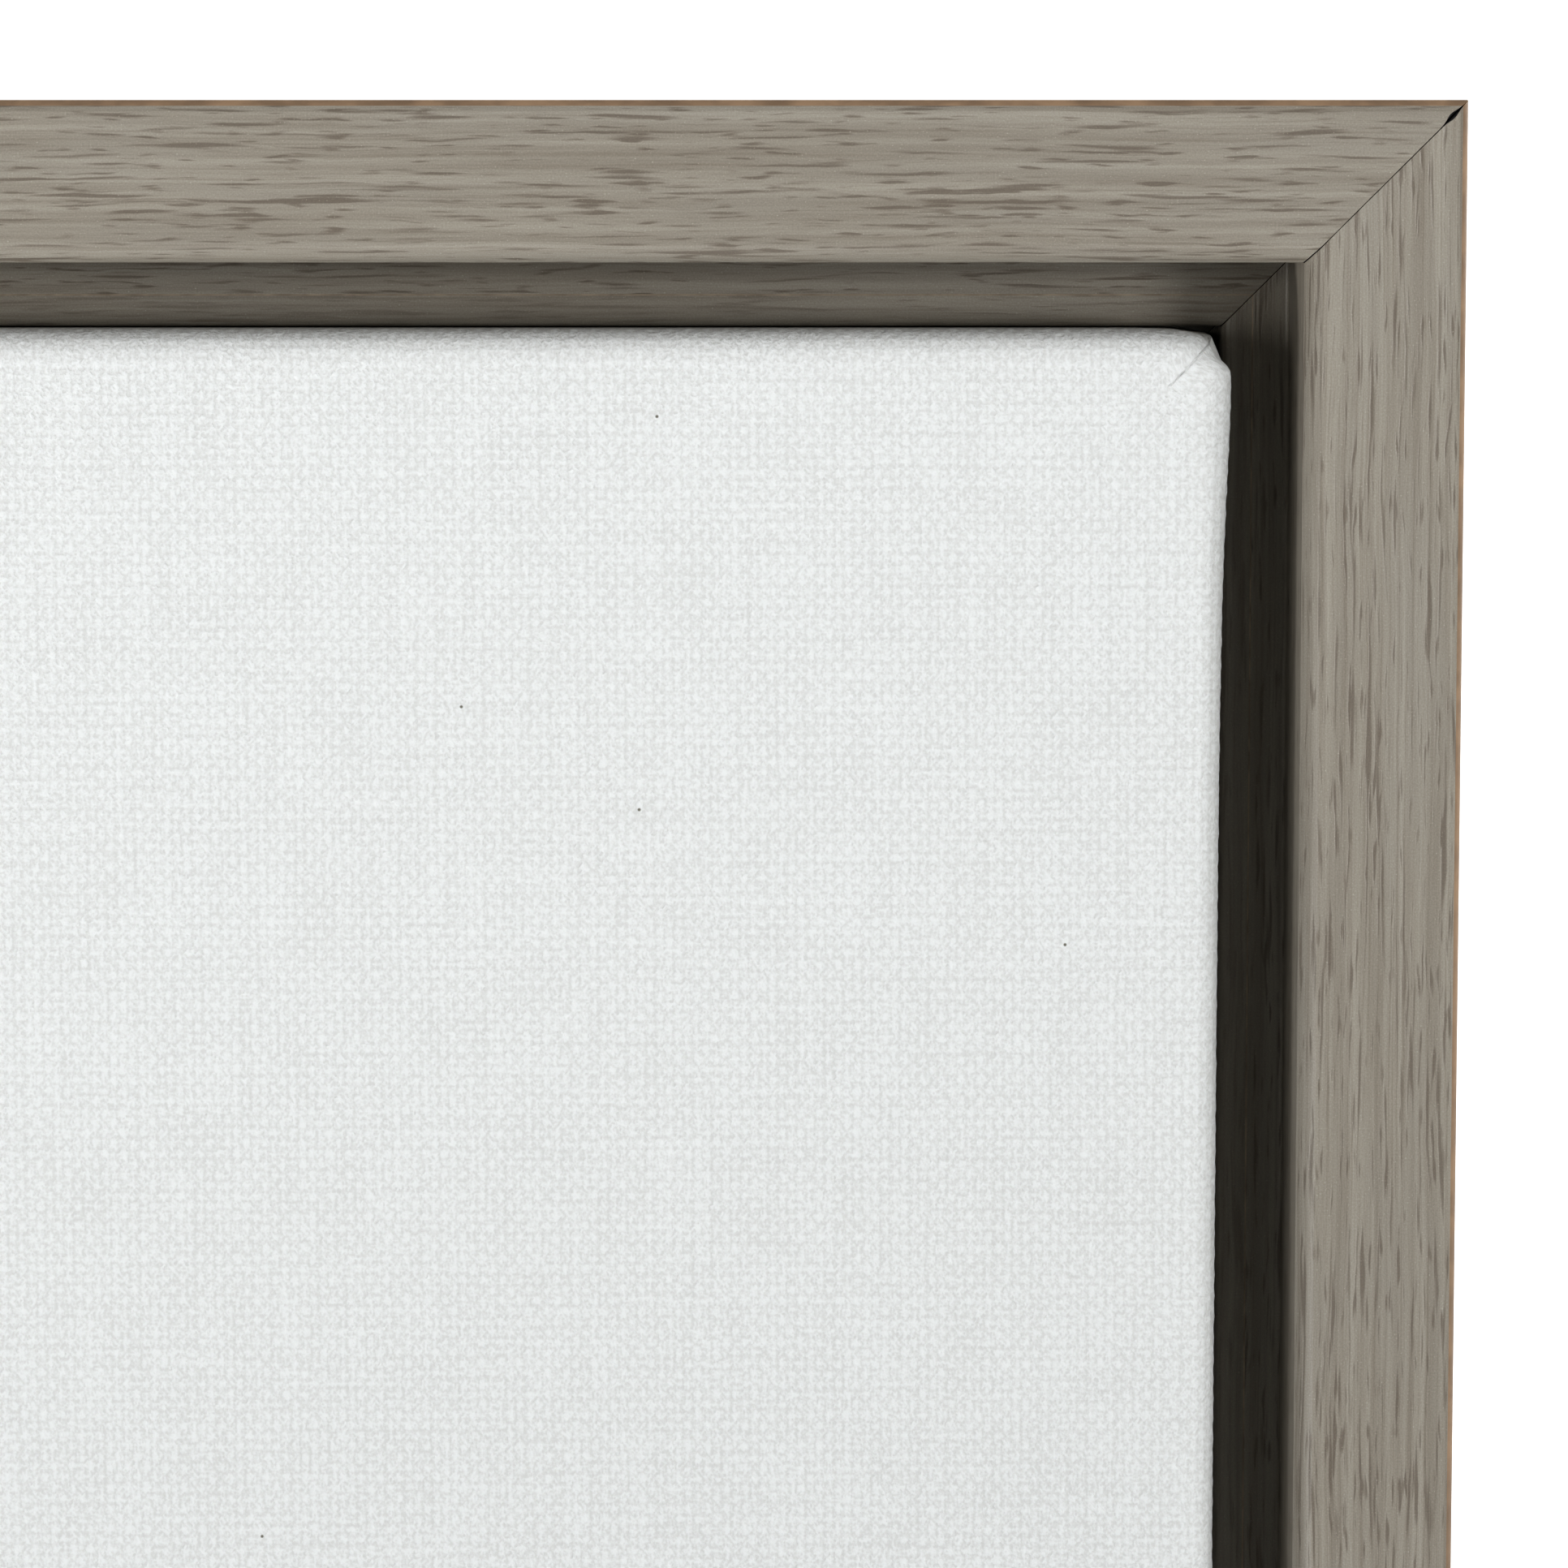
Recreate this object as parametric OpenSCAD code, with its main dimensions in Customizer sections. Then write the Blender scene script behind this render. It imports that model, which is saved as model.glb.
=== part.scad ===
// Floater frame: a stepped, mitred moulding around a stretched canvas that stands free inside it.
// The front faces -Y, +Z is up, and the origin is at the middle of the underside.

/* [Canvas] */
// Width of the stretched canvas
canvas_w = 279.4; // [200:0.1:600]
// Height of the stretched canvas
canvas_h = 355.6; // [250:0.1:800]
// Thickness of the primed cloth
cloth_t = 0.6; // [0.4:0.1:0.8]
// Width of the hem folded onto the back of the bars
hem_w = 18; // [16:0.5:22]
// Outside radius of the cloth where it turns over the front edge
canvas_edge_r = 2; // [1.2:0.1:2.4]
// How far the canvas is fixed above the middle of the opening
canvas_rise = 0.7; // [0:0.1:0.8]

/* [Stretcher bars] */
// Thickness of a bar, front to back
bar_d = 18.2; // [17.5:0.1:21]
// Width of a bar
bar_w = 35; // [32:1:45]
// Width of the raised bead along the outer front edge
bead_w = 6; // [4:0.5:8]
// How far the front of the bar slopes away behind the cloth
bar_relief = 2.4; // [1.5:0.1:3]

/* [Moulding] */
// Width of the front face of the moulding
face_w = 12.7; // [9:0.1:20]
// Depth of the inner wall, from the face to the ledge
wall_d = 15.5; // [10:0.5:17]
// Width of the ledge around the canvas
ledge_w = 5.5; // [3:0.1:5.9]
// Gap between the inner wall and the side of the canvas
float_gap = 6.35; // [6.1:0.05:10]
// How far the canvas lies behind the face of the moulding
face_drop = 1; // [0:0.1:3]
// How far the shelf reaches in behind the canvas
shelf_reach = 11; // [9:0.5:14]
// Thickness of the shelf that carries the canvas
shelf_t = 9.4; // [8:0.1:14]
// Radius of the two front edges
edge_r = 1; // [0.4:0.1:1.5]
// Radius of the inner edge of the ledge
ledge_r = 0.8; // [0.4:0.1:1.5]

/* [Hangers] */
// Height of the ring pivots as a share of the frame height
hanger_level = 0.72; // [0.6:0.01:0.74]
// Distance of each hanger from the outer side of its rail
hanger_in = 15; // [14:0.5:16]
// Radius of the ring's wire
wire_r = 1.25; // [1:0.05:1.4]
// Radius of the ring's round end, to the middle of the wire
ring_r = 12; // [11:0.25:12.5]
// Width of the strap
strap_w = 16; // [14:0.5:18]
// Length of the strap below the pivot
strap_l = 36; // [34:1:44]

/* [Hidden] */

$fn = 48;
eps = 0.01;          // lets a cut run past the face it cuts
skin_gap = 0.1;      // between the cloth and the bars under it
ledge_clear = 0.1;   // least gap between the cloth and the ledge
mitre_gap = 0.06;    // between the two faces of a mitre

// Sides are numbered clockwise from the front: top, right, bottom, left.
TOP = 0;
RIGHT = 1;
BOTTOM = 2;
LEFT = 3;

// Moulding, measured inwards from the outer side and back from the face.
frame_border = face_w + float_gap;
frame_w = canvas_w + 2 * frame_border;
frame_h = canvas_h + 2 * frame_border;
ledge_in = face_w + ledge_w;
shelf_in = frame_border + shelf_reach;
canvas_d = bar_d + 2 * (cloth_t + skin_gap);
shelf_at = face_drop + canvas_d;
frame_d = shelf_at + shelf_t;
rise = min(canvas_rise, float_gap - ledge_w - ledge_clear);

// Hanger: the eye stands off the back so that the ring swings clear.
sheet_t = 0.8;
fold_gap = 0.1;
eye_in_r = wire_r + 0.05;
eye_r = eye_in_r + sheet_t;
eye_off = 3.2;

// Depth places along Y, with the whole object's depth centred.
face_y = -(frame_d + eye_off + eye_r) / 2;
back_y = face_y + frame_d;
canvas_y = face_y + face_drop;
bar_y = canvas_y + cloth_t + skin_gap;

// Bars lie this far inside the cloth.
bar_inset = cloth_t + skin_gap;
bar_half_w = canvas_w / 2 - bar_inset;
bar_half_h = canvas_h / 2 - bar_inset;
bar_corner_cut = 1;  // depth of the flat sawn off each outer corner, under the folded cloth
bead_r = canvas_edge_r - cloth_t;

// Corner joint of the bars.
tongue_t = 5;
tongue_at = 6.6;     // from the front of the bar
tongue_in = 6;       // from the outer sides
tongue_fit = 0.15;
key_t = 3;
key_slot_t = 3.2;
key_l = 22;
key_wide = 9;
key_tip = 4;
key_in = 10;         // length of key inside its slot
key_levels = [6.8, 11.6];   // depth of the slots in the level bars and the upright bars

// Fasteners.
screw_r = 1.75;
screw_hole_r = 1.78;
clear_hole_r = 2.1;
head_r = 3.4;
head_h = 2.2;
tip_l = 3;
canvas_screw_l = 19;
canvas_screw_in = shelf_reach / 2;   // from the side of the canvas
screw_spread = 0.3;                  // of the rail, each way from its middle
hanger_screw_l = 12;
hanger_screw_drops = [18.5, 29];     // below the pivot
staple_w = 10;
staple_wire = [1, 0.5];
staple_leg = 8;
staple_in = 14.5;    // from the side of the canvas
nail_leg = 5;
nail_t = 0.7;
nail_l = 7;
nail_places = [6, 23];               // along the mitre, measured in from the outer sides
bumper_r = 5;
bumper_h = 3.2;
bumper_in = 14.5;

foil = "#8f877b";
pine = "#d9bf93";
plywood = "#c9a877";
primed = "#e8eaea";
steel = "#b9bcc0";
nickel = "#cfcbc2";
rubber = "#26262a";

function odd(side) = side == RIGHT || side == LEFT;
function frame_len(side) = odd(side) ? frame_h : frame_w;
function frame_half(side) = odd(side) ? frame_w / 2 : frame_h / 2;
function bar_len(side) = 2 * (odd(side) ? bar_half_h : bar_half_w);
function bar_half(side) = odd(side) ? bar_half_w : bar_half_h;

// Turns something drawn as the top side of the frame onto any side.
module on_side(side) {
    translate([0, 0, frame_h / 2]) rotate([0, 90 * side, 0]) children();
}

// Lifts the canvas and its bars above the middle of the opening.
module raised() {
    translate([0, 0, rise]) children();
}

// Turns a section drawn as (in from the outer side, back from the front) into a bar along X.
module bar_along_x(length) {
    translate([-length / 2, 0, 0]) rotate([0, 90, 0]) linear_extrude(height = length) children();
}

// A block, seen from the front as an outline in X and Z, from y to y + depth.
module slab(y, depth) {
    translate([0, y + depth, 0]) rotate([90, 0, 0]) linear_extrude(height = depth) children();
}

// Places something drawn at the top right corner at any corner.
module at_corner(right, top) {
    translate([0, 0, frame_h / 2]) flip_x(!right) flip_z(!top) children();
}
module flip_x(on) {
    if (on) mirror([1, 0, 0]) children();
    else children();
}
module flip_z(on) {
    if (on) mirror([0, 0, 1]) children();
    else children();
}

// What the two mitre cuts leave of a bar along X whose outer side is at z = 0.
module mitre_room(length, reach, gap) {
    cut = length / 2 - gap * sqrt(2) / 2;
    slab(face_y - 1, frame_d + 2)
        polygon([[-cut - 1, 1], [cut + 1, 1], [cut - reach, -reach], [-cut + reach, -reach]]);
}

// ---- Moulding ----

module rail_section() {
    // face and inner wall
    translate([0, edge_r]) square([face_w, frame_d - edge_r]);
    translate([edge_r, 0]) square([face_w - 2 * edge_r, frame_d]);
    for (u = [edge_r, face_w - edge_r]) translate([u, edge_r]) circle(r = edge_r);
    // ledge
    translate([0, wall_d]) square([ledge_in - ledge_r, frame_d - wall_d]);
    translate([0, wall_d + ledge_r]) square([ledge_in, frame_d - wall_d - ledge_r]);
    translate([ledge_in - ledge_r, wall_d + ledge_r]) circle(r = ledge_r);
    // shelf
    translate([0, shelf_at]) square([shelf_in, shelf_t]);
}

module rail(side) {
    color(foil) difference() {
        on_side(side) translate([0, 0, frame_half(side)]) intersection() {
            translate([0, face_y, 0]) bar_along_x(frame_len(side)) rail_section();
            mitre_room(frame_len(side), shelf_in + 1, mitre_gap);
        }
        screw_holes(side, clear_hole_r);
        if (odd(side)) hanger_holes(side == RIGHT);
    }
}

// ---- V-nails across each mitre, flush with the back ----

module v_nails(right, top) {
    color(steel) at_corner(right, top)
        for (in = nail_places)
            translate([frame_w / 2 - in, 0, frame_h / 2 - in]) slab(back_y - nail_l, nail_l)
                polygon([[0, 0], [-nail_leg, 0], [-nail_leg, -nail_t], [-nail_t, -nail_t],
                         [-nail_t, -nail_leg], [0, -nail_leg]]);
}

// ---- Stretcher bars ----

module bar_section() {
    slope_at = bead_w + 1.5;
    translate([bead_r, bead_r]) circle(r = bead_r);
    polygon([[0, bead_r], [bead_r, 0], [bead_w, 0], [slope_at, bar_relief / 2],
             [bar_w, bar_relief], [bar_w, bar_d], [0, bar_d]]);
}

// The tongues on the two upright bars, larger by fit where they are cut out of the level bars.
module tongues(fit) {
    inner = [bar_half_w - bar_w + 3, bar_half_h - bar_w];
    outer = [bar_half_w - tongue_in, bar_half_h - tongue_in];
    for (right = [false, true], top = [false, true]) at_corner(right, top)
        translate([inner.x - fit, bar_y + tongue_at - fit, inner.y])
            cube([outer.x - inner.x + 2 * fit, tongue_t + 2 * fit, outer.y - inner.y + fit]);
}

// A square block on its edge that takes the tip off each outer corner of the bars.
module corner_cuts() {
    wide = 2 * bar_corner_cut;
    for (right = [false, true], top = [false, true]) at_corner(right, top)
        translate([bar_half_w, bar_y + bar_d / 2, bar_half_h]) rotate([0, 45, 0])
            cube([wide, bar_d + 2, wide], center = true);
}

// Slots for the keys, cut in from the inner edges right beside each corner.
module key_slots(upright) {
    level = key_levels[upright ? 1 : 0];
    corner = [bar_half_w - bar_w, bar_half_h - bar_w];
    wide = key_wide + 0.3;
    deep = key_in + 0.5;
    for (right = [false, true], top = [false, true]) at_corner(right, top)
        if (upright) translate([corner.x - eps, bar_y + level - key_slot_t / 2, corner.y - wide])
            cube([deep, key_slot_t, wide]);
        else translate([corner.x - wide, bar_y + level - key_slot_t / 2, corner.y - eps])
            cube([wide, key_slot_t, deep]);
}

module stretcher(side) {
    color(pine) difference() {
        raised() difference() {
            union() {
                on_side(side) translate([0, 0, bar_half(side)]) intersection() {
                    translate([0, bar_y, 0]) bar_along_x(bar_len(side)) bar_section();
                    mitre_room(bar_len(side), bar_w + 1, mitre_gap);
                }
                if (odd(side)) intersection() {
                    tongues(0);
                    translate([side == RIGHT ? 0 : -frame_w, face_y, 0])
                        cube([frame_w, frame_d, frame_h]);
                }
            }
            if (!odd(side)) tongues(tongue_fit);
            key_slots(odd(side));
            corner_cuts();
        }
        screw_holes(side, screw_hole_r);
    }
}

// ---- Corner keys: one pushed into a level bar, one into an upright bar ----

module key_shape() {
    polygon([[0, key_in], [-key_tip, key_in], [-key_wide, key_in - key_l], [0, key_in - key_l]]);
}

module keys(right, top) {
    corner = [bar_half_w - bar_w, bar_half_h - bar_w];
    color(plywood) raised() at_corner(right, top) {
        translate([corner.x - 0.1, 0, corner.y])
            slab(bar_y + key_levels[0] - key_t / 2, key_t) key_shape();
        translate([corner.x, 0, corner.y - 0.1])
            slab(bar_y + key_levels[1] - key_t / 2, key_t)
                mirror([1, -1]) key_shape();
    }
}

// ---- Cloth ----

// A block with a round on all four front edges: size across, height and depth, front at y.
module wrapped_block(across, height, depth, y, r) {
    intersection() {
        translate([0, 0, frame_h / 2 - height / 2]) linear_extrude(height = height)
            rounded_front(across, depth, y, r);
        translate([-across / 2, 0, frame_h / 2]) rotate([0, 90, 0])
            linear_extrude(height = across) rounded_front(height, depth, y, r);
    }
}

module rounded_front(across, depth, y, r) {
    translate([-across / 2, y + r]) square([across, depth - r]);
    translate([-across / 2 + r, y]) square([across - 2 * r, depth]);
    for (side = [-1, 1]) translate([side * (across / 2 - r), y + r]) circle(r = r);
}

module canvas_sheet() {
    inside = cloth_t;
    color(primed) difference() {
        raised() difference() {
            wrapped_block(canvas_w, canvas_h, canvas_d, canvas_y, canvas_edge_r);
            wrapped_block(canvas_w - 2 * inside, canvas_h - 2 * inside, canvas_d - 2 * inside,
                          canvas_y + inside, bead_r);
            translate([-canvas_w / 2 + hem_w, canvas_y + canvas_d / 2, frame_border + hem_w])
                cube([canvas_w - 2 * hem_w, canvas_d, canvas_h - 2 * hem_w]);
        }
        for (side = [TOP : LEFT]) screw_holes(side, screw_hole_r);
    }
}

// ---- Staples ----

module staple() {
    wide = staple_wire[0];
    thick = staple_wire[1];
    translate([-staple_w / 2, 0, -wide / 2]) cube([staple_w, thick, wide]);
    for (x = [-staple_w / 2, staple_w / 2 - thick])
        translate([x, -staple_leg, -wide / 2]) cube([thick, staple_leg + thick, wide]);
}

module staples(side) {
    count = odd(side) ? 6 : 5;
    pitch = (bar_len(side) - 2 * (bar_w + staple_w)) / (count - 1);
    color(steel) raised() on_side(side)
        for (i = [0 : count - 1])
            translate([(i - (count - 1) / 2) * pitch, canvas_y + canvas_d,
                       frame_half(side) - frame_border - staple_in])
                staple();
}

// ---- Screws: drawn along Y with the underside of the head at y = 0, shank towards -Y ----

module screw(length) {
    dome = 0.9;
    recess = 1.4;
    rotate([90, 0, 0]) difference() {
        union() {
            cylinder(r = screw_r, h = length - tip_l);
            translate([0, 0, length - tip_l]) cylinder(r1 = screw_r, r2 = 0.3, h = tip_l);
            translate([0, 0, dome - head_h]) cylinder(r = head_r, h = head_h - dome);
            translate([0, 0, -head_h]) cylinder(r1 = head_r - dome, r2 = head_r, h = dome);
        }
        for (turn = [0, 90]) rotate([0, 0, turn])
            translate([-1.9, -0.4, -head_h - eps]) cube([3.8, 0.8, recess]);
    }
}

// Two screws a rail, through the shelf and the hem into the bar.
module at_canvas_screws(side) {
    apart = frame_len(side) * screw_spread;
    on_side(side) for (x = [-apart, apart])
        translate([x, back_y, frame_half(side) - frame_border - canvas_screw_in]) children();
}

module canvas_screws(side) {
    color(steel) at_canvas_screws(side) screw(canvas_screw_l);
}

module screw_holes(side, r) {
    at_canvas_screws(side) translate([0, 1, 0]) rotate([90, 0, 0])
        cylinder(r = r, h = canvas_screw_l + 1.2);
}

// ---- Hangers ----

module at_pivot(right) {
    translate([(right ? 1 : -1) * (frame_w / 2 - hanger_in), back_y + eye_off,
               frame_h * hanger_level]) children();
}

module hanger_holes(right) {
    at_pivot(right) for (drop = hanger_screw_drops)
        translate([0, 1 - eye_off, -drop]) rotate([90, 0, 0])
            cylinder(r = screw_hole_r, h = hanger_screw_l + 1);
}

// A strip folded round the ring's bar, its two layers flat on the rail below the eye.
module strap_section() {
    neck = 3.4;
    rear = sheet_t + fold_gap;
    difference() {
        union() {
            circle(r = eye_r);
            translate([-eye_off, 0]) {
                polygon([[0, -strap_l], [sheet_t, -strap_l], [sheet_t, -neck],
                         [eye_off - eye_in_r, 0], [eye_off - eye_r, 0], [0, -neck]]);
                polygon([[rear, -strap_l], [rear + sheet_t, -strap_l], [rear + sheet_t, -neck],
                         [eye_off + eye_r, 0], [eye_off + eye_in_r, 0], [rear, -neck]]);
            }
        }
        circle(r = eye_in_r);
    }
}

module hanger_strap(right) {
    end_r = strap_w / 2;
    color(nickel) at_pivot(right) difference() {
        intersection() {
            // (y, z) section, extruded along X
            translate([-strap_w / 2, 0, 0]) rotate([90, 0, 90])
                linear_extrude(height = strap_w) strap_section();
            slab(-eye_off - 1, eye_off + eye_r + 2) {
                translate([-strap_w / 2, end_r - strap_l]) square([strap_w, strap_l - end_r + eye_r + 1]);
                translate([0, end_r - strap_l]) circle(r = end_r);
            }
        }
        for (drop = hanger_screw_drops) translate([0, 1, -drop]) rotate([90, 0, 0])
            cylinder(r = clear_hole_r, h = eye_off + 2);
    }
}

module hanger_screws(right) {
    seat = 2 * sheet_t + fold_gap - eye_off;
    color(steel) at_pivot(right) for (drop = hanger_screw_drops)
        translate([0, seat, -drop]) screw(hanger_screw_l);
}

// The ring hangs straight down from its bar.
module d_ring(right) {
    color(nickel) at_pivot(right) {
        translate([-ring_r, 0, 0]) rotate([0, 90, 0]) cylinder(r = wire_r, h = 2 * ring_r);
        for (x = [-ring_r, ring_r]) translate([x, 0, 0]) sphere(r = wire_r);
        rotate([90, 0, 0]) rotate([0, 0, 180]) rotate_extrude(angle = 180)
            translate([ring_r, 0]) circle(r = wire_r);
    }
}

// ---- Bumpers at the two lower back corners ----

module bumper(right) {
    r = 1.2;
    color(rubber) at_corner(right, false)
        translate([frame_w / 2 - bumper_in, back_y, frame_h / 2 - bumper_in])
            rotate([-90, 0, 0]) rotate_extrude() {
                square([bumper_r, bumper_h - r]);
                square([bumper_r - r, bumper_h]);
                translate([bumper_r - r, bumper_h - r]) circle(r = r);
            }
}

rail(TOP);  // rail_top
rail(RIGHT);  // rail_right
rail(BOTTOM);  // rail_bottom
rail(LEFT);  // rail_left
v_nails(false, true);  // v_nails_top_left
v_nails(true, true);  // v_nails_top_right
v_nails(false, false);  // v_nails_bottom_left
v_nails(true, false);  // v_nails_bottom_right
stretcher(TOP);  // stretcher_top
stretcher(RIGHT);  // stretcher_right
stretcher(BOTTOM);  // stretcher_bottom
stretcher(LEFT);  // stretcher_left
keys(false, true);  // keys_top_left
keys(true, true);  // keys_top_right
keys(false, false);  // keys_bottom_left
keys(true, false);  // keys_bottom_right
canvas_sheet();
staples(TOP);  // staples_top
staples(RIGHT);  // staples_right
staples(BOTTOM);  // staples_bottom
staples(LEFT);  // staples_left
canvas_screws(TOP);  // canvas_screws_top
canvas_screws(RIGHT);  // canvas_screws_right
canvas_screws(BOTTOM);  // canvas_screws_bottom
canvas_screws(LEFT);  // canvas_screws_left
hanger_strap(false);  // hanger_strap_left
hanger_strap(true);  // hanger_strap_right
hanger_screws(false);  // hanger_screws_left
hanger_screws(true);  // hanger_screws_right
d_ring(false);  // d_ring_left
d_ring(true);  // d_ring_right
bumper(false);  // bumper_left
bumper(true);  // bumper_right
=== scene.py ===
"""A floater frame with a stretched canvas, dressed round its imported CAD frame."""
import math

import bmesh
import bpy
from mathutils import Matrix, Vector, noise


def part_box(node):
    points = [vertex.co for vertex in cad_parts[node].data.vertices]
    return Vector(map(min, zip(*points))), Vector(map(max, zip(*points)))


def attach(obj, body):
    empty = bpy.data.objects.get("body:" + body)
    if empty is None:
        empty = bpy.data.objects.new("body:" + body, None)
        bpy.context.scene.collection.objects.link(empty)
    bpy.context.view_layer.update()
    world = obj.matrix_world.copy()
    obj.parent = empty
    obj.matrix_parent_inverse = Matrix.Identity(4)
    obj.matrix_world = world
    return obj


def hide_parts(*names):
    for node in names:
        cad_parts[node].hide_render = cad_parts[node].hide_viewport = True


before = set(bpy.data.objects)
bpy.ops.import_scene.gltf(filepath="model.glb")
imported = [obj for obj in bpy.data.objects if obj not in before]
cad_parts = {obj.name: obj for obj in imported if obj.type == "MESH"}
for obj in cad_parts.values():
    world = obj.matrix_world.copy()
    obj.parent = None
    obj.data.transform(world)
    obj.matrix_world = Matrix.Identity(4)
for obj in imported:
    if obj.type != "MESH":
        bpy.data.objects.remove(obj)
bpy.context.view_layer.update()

MM = 0.001
SIDES = ("top", "right", "bottom", "left")

# ---- Places read from the frame ----
top_low, top_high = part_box("rail_top")
_, side_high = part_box("rail_right")
cloth_low, cloth_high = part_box("canvas_sheet")
FRAME_W = 2 * side_high.x
FRAME_H = top_high.z
FACE_Y = top_low.y
BACK_Y = top_high.y
SHELF_IN = FRAME_H - top_low.z
SHELF_AT = cloth_high.y - FACE_Y
DEPTH = BACK_Y - FACE_Y
CLOTH_W = cloth_high.x - cloth_low.x
CLOTH_H = cloth_high.z - cloth_low.z
MIDDLE_Z = FRAME_H / 2
CLOTH_RISE = (cloth_low.z + cloth_high.z) / 2 - MIDDLE_Z

# ---- Moulding section, in from the outer side (u) and back from the face (v) ----
FACE_W = 12.7 * MM
WALL_D = 15.5 * MM
LEDGE_IN = 18.2 * MM
SEAM_IN = 15.6 * MM          # where one strip of wrap ends on the ledge
OUTER_EDGE = 0.9 * MM        # width of the rounded arris along the outer side of the face
INNER_EDGE = 1.35 * MM       # and along the inner side
EDGE_TILT = 30               # slope of an arris where it leaves the face, in degrees
SIDE_TILT = 22               # and how far it still leans when it meets the side
COVE_R = 0.35 * MM           # where the wall meets the ledge
LEDGE_R = 0.8 * MM
BACK_R = 0.4 * MM            # of the outer edge at the back, and the cut on the inner one
SHELF_CUT = 0.3 * MM         # chamfer on the shelf's inner edge
WRAP_T = 0.05 * MM           # thickness of the printed wrap
TURN_OVER = 3.0 * MM         # wrap turned onto the back


# ---------------------------------------------------------------- camera
def make_camera():
    """The corner at upper right, seen from in front of the top edge and tilted down."""
    distance = 485 * MM
    from_right_side = 53.6 * MM
    below_top = 0.8 * MM
    tilt_down = math.radians(6.235)
    camera = bpy.data.objects.new("camera", bpy.data.cameras.new("camera"))
    camera.data.lens = 141.6
    camera.data.sensor_width = 36
    camera.data.clip_start = 0.01
    camera.data.clip_end = 20
    camera.location = (FRAME_W / 2 - from_right_side, FACE_Y - distance, FRAME_H - below_top)
    camera.rotation_euler = (math.pi / 2 - tilt_down, 0, 0)
    bpy.context.scene.collection.objects.link(camera)
    bpy.context.scene.camera = camera


make_camera()


# ---------------------------------------------------------------- materials
class Paint:
    """One procedural material, with short calls for the nodes it is made of."""

    def __init__(self, name, **sockets):
        self.mat = bpy.data.materials.new(name)
        self.mat.use_nodes = True
        self.tree = self.mat.node_tree
        self.shader = self.tree.nodes["Principled BSDF"]
        for key, value in sockets.items():
            self.shader.inputs[key.replace("_", " ")].default_value = value

    def node(self, kind, inputs=(), **settings):
        made = self.tree.nodes.new("ShaderNode" + kind)
        for key, value in settings.items():
            setattr(made, key, value)
        for key, value in dict(inputs).items():
            self.feed(made.inputs[key], value)
        return made

    def feed(self, socket, value):
        if isinstance(value, bpy.types.NodeSocket):
            self.tree.links.new(value, socket)
        else:
            socket.default_value = value

    def math(self, operation, a, b=0.0):
        return self.node("Math", {0: a, 1: b}, operation=operation).outputs[0]

    def uv(self, name):
        return self.node("UVMap", uv_map=name).outputs[0]

    def place(self):
        """The piece's own coordinates, in metres."""
        return self.node("TexCoord").outputs["Object"]

    def split(self, vector):
        return self.node("SeparateXYZ", {0: vector}).outputs

    def join(self, x, y, z=0.0):
        return self.node("CombineXYZ", {0: x, 1: y, 2: z}).outputs[0]

    def cells(self, vector, sizes):
        """The vector counted in cells of these sizes, in metres."""
        per_metre = [1 / s for s in sizes]
        return self.node("VectorMath", {0: vector, 1: per_metre}, operation="MULTIPLY").outputs[0]

    def noise(self, vector, sizes, detail=2.0, roughness=0.5):
        at = self.cells(vector, sizes)
        inputs = {"Vector": at, "Scale": 1.0, "Detail": detail, "Roughness": roughness}
        return self.node("TexNoise", inputs).outputs[0]

    def step(self, value, low, high, to_low=0.0, to_high=1.0):
        inputs = {0: value, 1: low, 2: high, 3: to_low, 4: to_high}
        return self.node("MapRange", inputs, interpolation_type="SMOOTHSTEP").outputs[0]

    def mix(self, factor, a, b, blend="MIX"):
        made = self.node("Mix", data_type="RGBA", blend_type=blend)
        for socket, value in zip((made.inputs[0], made.inputs[6], made.inputs[7]), (factor, a, b)):
            self.feed(socket, value)
        return made.outputs[2]

    def finish(self, colour=None, roughness=None, height=None, depth=0.0, strength=1.0):
        if colour is not None:
            self.feed(self.shader.inputs["Base Color"], colour)
        if roughness is not None:
            self.feed(self.shader.inputs["Roughness"], roughness)
        if height is not None:
            inputs = {"Height": height, "Distance": depth, "Strength": strength}
            bump = self.node("Bump", inputs)
            self.feed(self.shader.inputs["Normal"], bump.outputs[0])
        return self.mat


def rgb(red, green, blue):
    """A colour given as it shows on a screen, from 0 to 255, as a linear one."""
    def linear(c):
        c /= 255
        return c / 12.92 if c <= 0.04045 else ((c + 0.055) / 1.055) ** 2.4
    return (linear(red), linear(green), linear(blue), 1.0)


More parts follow.
